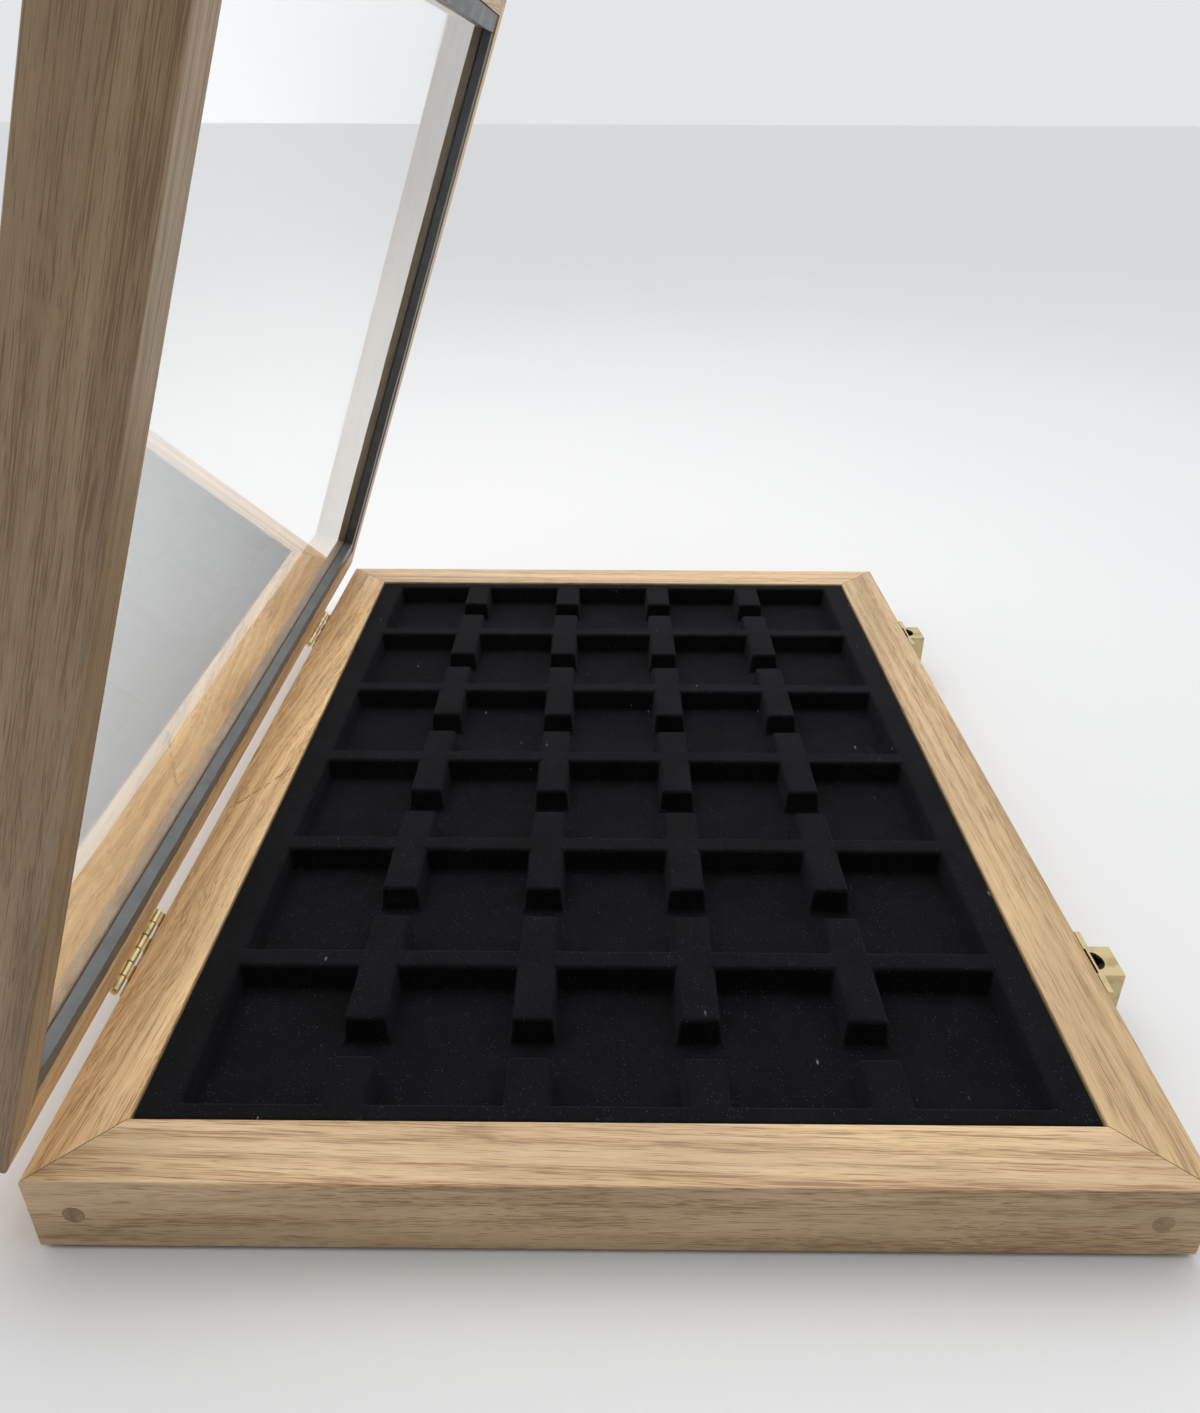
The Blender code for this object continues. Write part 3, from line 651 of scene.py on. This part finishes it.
class CASE_OT_rails(bpy.types.Operator):
    """Make the eight mitred oak rails of base and lid"""
    bl_idname = "case.rails"
    bl_label = "Rails"

    def execute(self, context):
        for lift, prefix in enumerate(("base", "lid")):
            low, high = shut_box(prefix + "_rail_front")
            width, thickness = high.y - low.y, high.z - low.z
            filler = shut_box("bottom_panel" if prefix == "base" else "glass_pane")[1]
            inner = high.x - width
            rabbet_width = filler.x - inner + RABBET_SIDE_ROOM
            rabbet_depth = filler.z - low.z + RABBET_TOP_ROOM
            for index, side in enumerate(SIDES):
                name = f"{prefix}_rail_{side}"
                half_run = shut_box(name)[1][0 if side in ENDS else 1]
                work = rail_mesh(half_run, width, thickness, rabbet_width, rabbet_depth)
                offset = (1.7 * index + 0.9 * lift, 0.31 * index + 0.13 * lift, 0.23 * index + 0.4 * lift)
                oak = oak_material("oak_" + name, offset, *OAK_BOARDS[name], OAK_MARKS.get(name, ()))
                finish_piece(work, "oak_" + name, [name], oak,
                             place=board_place(prefix, side, low.z), board=True)
        return {"FINISHED"}


class CASE_OT_dowels(bpy.types.Operator):
    """Make the dowels that pin the corners"""
    bl_idname = "case.dowels"
    bl_label = "Dowels"

    def execute(self, context):
        wood = oak_material("dowel_wood", offset=(0.5, 0.2, 0.1), slope=0.0, figure=0.002,
                            tone=(0.60, 0.56, 0.52), pores=0.6, board=(1, 0, 2))
        for prefix in ("base", "lid"):
            for end in ENDS:
                for side in ("left", "right"):
                    self.make(f"{prefix}_dowel_{end}_{side}", -1 if end == "front" else 1, wood)
        return {"FINISHED"}

    @staticmethod
    def make(node, outwards, wood):
        low, high = shut_box(node)
        radius = (high.x - low.x) / 2 + DOWEL_EASE
        length = high.y - low.y
        work = bmesh.new()
        bmesh.ops.create_cone(work, cap_ends=True, segments=40, radius1=radius, radius2=radius,
                              depth=length)
        round_edges(work, sharp_edges(work, 60), FINE_ROUND, 3)
        centre = (low + high) / 2 + Vector((0, outwards * shape().dowel_proud, 0))
        place = Matrix.Translation(centre) @ Matrix.Rotation(QUARTER, 4, "X")
        finish_piece(work, "fine_" + node, [node], wood, place=place)


# ---- tray, panel and feet ----

class CASE_OT_tray(bpy.types.Operator):
    """Make the flocked tray with its rows of pockets and finger notches"""
    bl_idname = "case.tray"
    bl_label = "Tray"
    notch_length: FloatProperty(
        name="Notch", description="Finger gap between neighbouring pockets", default=23.3 * MM, unit="LENGTH")
    notch_forward: FloatProperty(
        name="Notch offset", description="Notch centre, in front of the pocket's", default=4.5 * MM,
        unit="LENGTH")

    def execute(self, context):
        low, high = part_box("coin_tray")
        boxes = [opening["box_m"] for opening in RECORD["physics"]["openings"]]
        columns = sorted({(box[0][0], box[1][0]) for box in boxes})
        rows = sorted({(box[0][1], box[1][1]) for box in boxes})
        depth = high.z - min(box[0][2] for box in boxes)
        notches = []
        for start, end in rows:
            middle = (start + end) / 2 - self.notch_forward
            notches.append((middle - self.notch_length / 2, middle + self.notch_length / 2))
        work = self.top_sheet(low, high, columns, rows, notches)
        sunk = [face for face in work.faces
                if self.is_sunk(face.calc_center_median(), columns, rows, notches)]
        bmesh.ops.inset_region(work, faces=sunk, thickness=shape().draft, depth=-depth, use_boundary=True,
                               use_even_offset=True)
        rim = [edge for edge in work.edges if edge.is_boundary]
        made = bmesh.ops.extrude_edge_only(work, edges=rim)["geom"]
        skirt = [item for item in made if isinstance(item, bmesh.types.BMVert)]
        bmesh.ops.translate(work, vec=(0, 0, low.z - high.z), verts=skirt)
        close_holes(work)
        bottom = low.z + TINY
        edges = [edge for edge in sharp_edges(work, 40) if max(v.co.z for v in edge.verts) > bottom]
        round_edges(work, edges, shape().flock_round, 4)
        finish_piece(work, "flocked_tray", ["coin_tray"], flock_material(), smooth=70.0)
        return {"FINISHED"}

    @staticmethod
    def top_sheet(low, high, columns, rows, notches):
        """The tray's top as a sheet, cut along every wall to come."""
        work = bmesh.new()
        bmesh.ops.create_grid(work, x_segments=1, y_segments=1, size=0.5)
        bmesh.ops.scale(work, vec=(high.x - low.x, high.y - low.y, 1), verts=work.verts)
        bmesh.ops.translate(work, vec=((low.x + high.x) / 2, (low.y + high.y) / 2, high.z), verts=work.verts)
        cuts = [((x, 0, 0), (1, 0, 0)) for column in columns for x in column]
        cuts += [((0, y, 0), (0, 1, 0)) for band in (*rows, *notches) for y in band]
        for point, normal in cuts:
            bmesh.ops.bisect_plane(work, geom=everything(work), plane_co=point, plane_no=normal)
        return work

    @staticmethod
    def is_sunk(centre, columns, rows, notches):
        in_row = any(start < centre.y < end for start, end in rows)
        in_column = any(start < centre.x < end for start, end in columns)
        in_notch = any(start < centre.y < end for start, end in notches)
        between = columns[0][0] < centre.x < columns[-1][1]
        return (in_row and in_column) or (in_notch and between)


# Plain materials: dark and light tone, scale of the grain along each axis, roughness, height of the grain.
PLAIN_GRAINS = {
    "plywood": ((0.40, 0.27, 0.14, 1), (0.58, 0.42, 0.25, 1), (380.0, 12.0, 60.0), 0.62, 0.1 * MM),
    "foam_board": ((0.42, 0.42, 0.40, 1), (0.60, 0.60, 0.58, 1), (900.0, 900.0, 900.0), 0.85, 0.2 * MM),
    "rubber": ((0.018, 0.018, 0.018, 1), (0.040, 0.040, 0.040, 1), (700.0, 700.0, 700.0), 0.78, 0.1 * MM),
}


class CASE_OT_underside(bpy.types.Operator):
    """Finish the bottom panel and the riser, and make the rubber feet"""
    bl_idname = "case.underside"
    bl_label = "Panel, riser and feet"

    def execute(self, context):
        dress("bottom_panel", plain_grain_material("plywood"))
        dress("tray_riser", plain_grain_material("foam_board"))
        rubber = plain_grain_material("rubber")
        for end in ENDS:
            for side in ("left", "right"):
                soften(f"foot_{end}_{side}", rubber, FINE_ROUND, 3)
        return {"FINISHED"}


# ---- glass ----

class CASE_OT_glazing(bpy.types.Operator):
    """Make the pane and the flexible strips that hold it"""
    bl_idname = "case.glazing"
    bl_label = "Glass and strips"
    cuts: bpy.props.IntProperty(
        name="Strip divisions", description="Lengthwise divisions of a strip", default=90, min=1)

    def execute(self, context):
        low, high = shut_box("glass_pane")
        work = box_mesh(low, high)
        round_edges(work, sharp_edges(work), FINE_ROUND, 2)
        finish_piece(work, "clear_pane", ["glass_pane"], glass_material())
        grey = strip_material()
        for index, side in enumerate(SIDES):
            self.make_strip("glass_strip_" + side, side, index, grey)
        return {"FINISHED"}

    def make_strip(self, node, side, seed, grey):
        low, high = shut_box(node)
        axis = 0 if side in ENDS else 1
        inwards = -1 if side in ("right", "back") else 1
        work = box_mesh(low, high)
        runs = [edge for edge in work.edges
                if abs((edge.verts[0].co - edge.verts[1].co)[axis]) > 0.5 * (high - low)[axis]]
        bmesh.ops.subdivide_edges(work, edges=runs, cuts=self.cuts, use_grid_fill=True)
        length = [edge for edge in sharp_edges(work)
                  if abs((edge.verts[0].co - edge.verts[1].co)[axis]) > TINY]
        round_edges(work, length, STRIP_ROUND, 3)
        middle = (low + high)[1 - axis] / 2
        wave = shape().strip_wave
        for vertex in work.verts:
            run = vertex.co[axis]
            if (vertex.co[1 - axis] - middle) * inwards > 0:
                vertex.co[1 - axis] += wave * noise.noise(Vector((run * 22, seed * 7.3, 0.4))) * inwards
            if vertex.co.z < (low.z + high.z) / 2:
                vertex.co.z += 0.7 * wave * noise.noise(Vector((run * 31, seed * 3.1, 5.2)))
        finish_piece(work, "flexible_" + node, [node], grey, smooth=60.0)


# ---- brass ----

def turned_mesh(profile, sides):
    """A closed body of (radius, height) points spun about Z."""
    work = bmesh.new()
    points = [work.verts.new((radius, 0, height)) for radius, height in profile]
    edges = [work.edges.new(pair) for pair in zip(points, points[1:])]
    bmesh.ops.spin(work, geom=[*points, *edges], cent=(0, 0, 0), axis=(0, 0, 1), angle=2 * math.pi,
                   steps=sides, use_merge=True)
    bmesh.ops.remove_doubles(work, verts=work.verts, dist=TINY)
    bmesh.ops.recalc_face_normals(work, faces=work.faces)
    return work


def screw_mesh(head, length):
    """A countersunk screw along -Z with a straight slot across its head."""
    shank = SHANK_RADIUS
    work = turned_mesh([
        (head * 0.62, 0), (head * 0.9, -0.06 * MM), (head, -0.25 * MM), (shank, -head * 0.55),
        (shank, -length + 2 * shank), (shank * 0.2, -length),
    ], SCREW_SIDES)
    close_holes(work)
    for hand in (-1, 1):
        bmesh.ops.bisect_plane(work, geom=everything(work), plane_co=(0, hand * SLOT_WIDTH / 2, 0),
                               plane_no=(0, 1, 0))
    sunk = [face for face in work.faces
            if face.normal.z > 0.9 and abs(face.calc_center_median().y) < SLOT_WIDTH / 2
            and face.calc_center_median().z > -0.1 * MM]
    bmesh.ops.inset_region(work, faces=sunk, thickness=SLOT_DRAFT, depth=-SLOT_DEPTH, use_even_offset=True)
    return work


class CASE_OT_screws(bpy.types.Operator):
    """Make the slotted brass screws of hinges and catches"""
    bl_idname = "case.screws"
    bl_label = "Screws"

    def execute(self, context):
        brass = brass_material("brass_screw", (0.92, 0.88, 0.8))
        for index, node in enumerate(sorted(name for name in NODES if "_screw_" in name)):
            low, high = shut_box(node)
            outwards = 1 if high.x > 0 else -1
            middle = (low + high) / 2
            face = high.x if outwards > 0 else low.x
            turn = Matrix.Rotation(outwards * QUARTER, 4, "Y") @ Matrix.Rotation(index * SCREW_TURN, 4, "Z")
            work = screw_mesh((high.z - low.z) / 2, high.x - low.x)
            place = Matrix.Translation((face, middle.y, middle.z)) @ turn
            finish_piece(work, "slotted_" + node, [node], brass, place=place)
        return {"FINISHED"}


class CASE_OT_hinges(bpy.types.Operator):
    """Make the butt hinges: two leaves with three knuckles each, on one pin"""
    bl_idname = "case.hinges"
    bl_label = "Hinges"
    knuckles: bpy.props.IntProperty(
        name="Knuckles", description="Knuckles on one hinge, the front one the lid's", default=6, min=2)
    slit: FloatProperty(
        name="Slit", description="Gap between neighbouring knuckles", default=0.5 * MM, unit="LENGTH")

    def execute(self, context):
        brass = brass_material()
        for end in ENDS:
            self.make_pin(f"hinge_{end}_pin", brass)
            for owner, first in (("lid", 0), ("base", 1)):
                self.make_leaf(f"hinge_{end}_{owner}_leaf", first, brass)
        return {"FINISHED"}

    @staticmethod
    def make_pin(node, brass):
        low, high = shut_box(node)
        radius, length = (high.x - low.x) / 2, high.y - low.y
        work = bmesh.new()
        bmesh.ops.create_cone(work, cap_ends=True, segments=28, radius1=radius, radius2=radius, depth=length)
        round_edges(work, sharp_edges(work, 60), radius * 0.45, 3)
        place = Matrix.Translation((low + high) / 2) @ Matrix.Rotation(QUARTER, 4, "X")
        finish_piece(work, "turned_" + node, [node], brass, place=place)

    def make_leaf(self, node, first, brass):
        low, high = shut_box(node)
        middle = (low.y + high.y) / 2
        radius = PIN.x - low.x
        up = 1 if high.z - PIN.z > PIN.z - low.z else -1
        near = radius + LEAF_CLEARANCE
        far = (high.z - PIN.z) if up > 0 else (PIN.z - low.z)
        length = high.y - low.y
        bands = sorted((PIN.z + up * near, PIN.z + up * far))
        plate = box_mesh(Vector((high.x - LEAF_THICKNESS, middle - length / 2, bands[0])),
                         Vector((high.x, middle + length / 2, bands[1])))
        corners = [edge for edge in plate.edges
                   if abs(edge.verts[0].co.x - edge.verts[1].co.x) > 0.5 * LEAF_THICKNESS
                   and (edge.verts[0].co.z - PIN.z) * up > 0.5 * far]
        round_edges(plate, corners, LEAF_CORNER, 4)
        round_edges(plate, sharp_edges(plate, 50), shape().metal_round, 2)
        step = length / self.knuckles
        for knuckle in range(first, self.knuckles, 2):
            start = middle - length / 2 + knuckle * step
            self.add_knuckle(plate, start, step, radius, high.x, up, near)
        finish_piece(plate, "fine_" + node, [node], brass)

    def add_knuckle(self, plate, start, step, radius, face, up, near):
        """A barrel round the pin, and the web from it to the plate."""
        centre = Vector((PIN.x, start + step / 2, PIN.z))
        depth = step - self.slit
        place = Matrix.Translation(centre) @ Matrix.Rotation(QUARTER, 4, "X")
        made = bmesh.ops.create_cone(plate, cap_ends=True, segments=32, radius1=radius, radius2=radius,
                                     depth=depth, matrix=place)
        rims = list({edge for vertex in made["verts"] for edge in vertex.link_edges
                     if len(edge.link_faces) == 2 and edge.calc_face_angle(0) > 1.0})
        round_edges(plate, rims, BARREL_ROUND, 3)
        web_low, web_high = sorted((PIN.z + up * 0.4 * radius, PIN.z + up * (near + WEB_REACH)))
        size = Vector((LEAF_THICKNESS, depth - WEB_INSET, web_high - web_low))
        middle = Vector((face - LEAF_THICKNESS / 2, centre.y, (web_low + web_high) / 2))
        matrix = Matrix.Translation(middle) @ Matrix.Diagonal((*size, 1))
        bmesh.ops.create_cube(plate, size=1.0, matrix=matrix)


class CASE_OT_catches(bpy.types.Operator):
    """Make the snap catches: boxes, hooks and springs"""
    bl_idname = "case.catches"
    bl_label = "Catches"

    def execute(self, context):
        brass = brass_material("brass_catch", (0.80, 0.79, 0.78))
        steel = steel_material()
        for end in ENDS:
            soften(f"catch_{end}_box", brass, shape().metal_round)
            soften(f"catch_{end}_hook", brass, shape().metal_round)
            soften(f"catch_{end}_spring", steel, SPRING_ROUND)
        return {"FINISHED"}


# ---- stage ----

class CASE_OT_stage(bpy.types.Operator):
    """Make the plain pale floor, the soft light and the camera"""
    bl_idname = "case.stage"
    bl_label = "Stage"

    def execute(self, context):
        settings = context.scene.case_stage
        self.make_floor()
        self.make_sky(settings)
        self.make_key(settings)
        self.make_camera(settings)
        context.scene.view_settings.view_transform = "Standard"
        context.scene.view_settings.look = "None"
        return {"FINISHED"}

    @staticmethod
    def make_floor():
        work = bmesh.new()
        bmesh.ops.create_grid(work, x_segments=1, y_segments=1, size=FLOOR_REACH)
        bmesh.ops.translate(work, vec=(0, 0, CAD_BOX[0].z - FLOOR_DROP), verts=work.verts)
        mesh = bpy.data.meshes.new("pale_floor")
        work.to_mesh(mesh)
        work.free()
        material, bench, shader, place = new_material("pale_floor", Roughness=0.7, Specular_IOR_Level=0.2)
        cloud = bench.grain(place, scale=3.0, detail=2.0)
        tint = toned(finish().floor)
        bench.feed(shader["Base Color"], bench.mix(cloud, tint, toned(tint, (0.97, 0.975, 0.985))))
        mesh.materials.append(material)
        floor = bpy.data.objects.new("pale_floor", mesh)
        bpy.context.scene.collection.objects.link(floor)

    @staticmethod
    def make_sky(settings):
        """Even pale surroundings to look at; as light, brighter from above and behind."""
        world = bpy.data.worlds.new("soft_surroundings")
        bpy.context.scene.world = world
        world.use_nodes = True
        bench = Bench(world.node_tree)
        background = world.node_tree.nodes["Background"].inputs
        direction = bench.add("ShaderNodeTexCoord").outputs["Generated"]
        axes = bench.split(direction)
        rise = bench.math("ADD", bench.product(axes[1], 0.75), bench.product(axes[2], 0.65))
        level = bench.step(rise, -0.35, 0.55, settings.dim, settings.sky)
        seen = bench.add("ShaderNodeLightPath").outputs["Is Camera Ray"]
        lit = bench.product(bench.math("SUBTRACT", 1.0, seen), level)
        shown = bench.math("ADD", bench.product(seen, SURROUNDINGS_SHOWN), lit)
        background["Color"].default_value = (0.975, 0.985, 1.0, 1)
        bench.feed(background["Strength"], shown)

    @staticmethod
    def make_key(settings):
        lamp = bpy.data.lights.new("overhead_softbox", "AREA")
        lamp.shape = "RECTANGLE"
        lamp.size, lamp.size_y = 1.8, 1.6
        lamp.energy = settings.key_power
        lamp.color = (1.0, 0.985, 0.96)
        key = bpy.data.objects.new("overhead_softbox", lamp)
        key.location = (-0.35, 0.44, 1.70)
        aim = Vector((-0.05, 0.10, 0.0)) - key.location
        key.rotation_mode = "QUATERNION"
        key.rotation_quaternion = aim.to_track_quat("-Z", "Y")
        bpy.context.scene.collection.objects.link(key)

    @staticmethod
    def make_camera(settings):
        lens = bpy.data.cameras.new("view")
        lens.sensor_width = 36.0
        lens.sensor_fit = "AUTO"
        lens.lens = settings.lens
        lens.clip_start = 0.01
        camera = bpy.data.objects.new("view", lens)
        camera.location = settings.eye
        turn = (Matrix.Rotation(settings.heading, 4, "Z")
                @ Matrix.Rotation(QUARTER - settings.pitch, 4, "X")
                @ Matrix.Rotation(settings.roll, 4, "Z"))
        camera.rotation_euler = turn.to_euler()
        bpy.context.scene.collection.objects.link(camera)
        bpy.context.scene.camera = camera


# ---- panel and registration ----

OPERATORS = (CASE_OT_rails, CASE_OT_dowels, CASE_OT_tray, CASE_OT_underside, CASE_OT_glazing, CASE_OT_hinges,
             CASE_OT_catches, CASE_OT_screws, CASE_OT_stage)
SETTINGS = {
    "case_shape": CaseShapeSettings,
    "case_finish": CaseFinishSettings,
    "case_stage": CaseStageSettings,
}


class CASE_PT_tools(bpy.types.Panel):
    """Lists the case's pieces and settings"""
    bl_label = "Display Case"
    bl_idname = "CASE_PT_tools"
    bl_space_type = "VIEW_3D"
    bl_region_type = "UI"
    bl_category = "Display Case"

    def draw(self, context):
        for operator in OPERATORS:
            self.layout.operator(operator.bl_idname)
        for name, group in SETTINGS.items():
            box = self.layout.box()
            for key in group.__annotations__:
                box.prop(getattr(context.scene, name), key)


def register():
    for group in SETTINGS.values():
        bpy.utils.register_class(group)
    for operator in OPERATORS:
        bpy.utils.register_class(operator)
    bpy.utils.register_class(CASE_PT_tools)
    for name, group in SETTINGS.items():
        setattr(bpy.types.Scene, name, PointerProperty(type=group))


def unregister():
    for name in SETTINGS:
        delattr(bpy.types.Scene, name)
    bpy.utils.unregister_class(CASE_PT_tools)
    for group in (*OPERATORS, *SETTINGS.values()):
        bpy.utils.unregister_class(group)


def main():
    register()
    for operator in OPERATORS:
        family, name = operator.bl_idname.split(".")
        getattr(getattr(bpy.ops, family), name)()


if __name__ == "__main__":
    main()
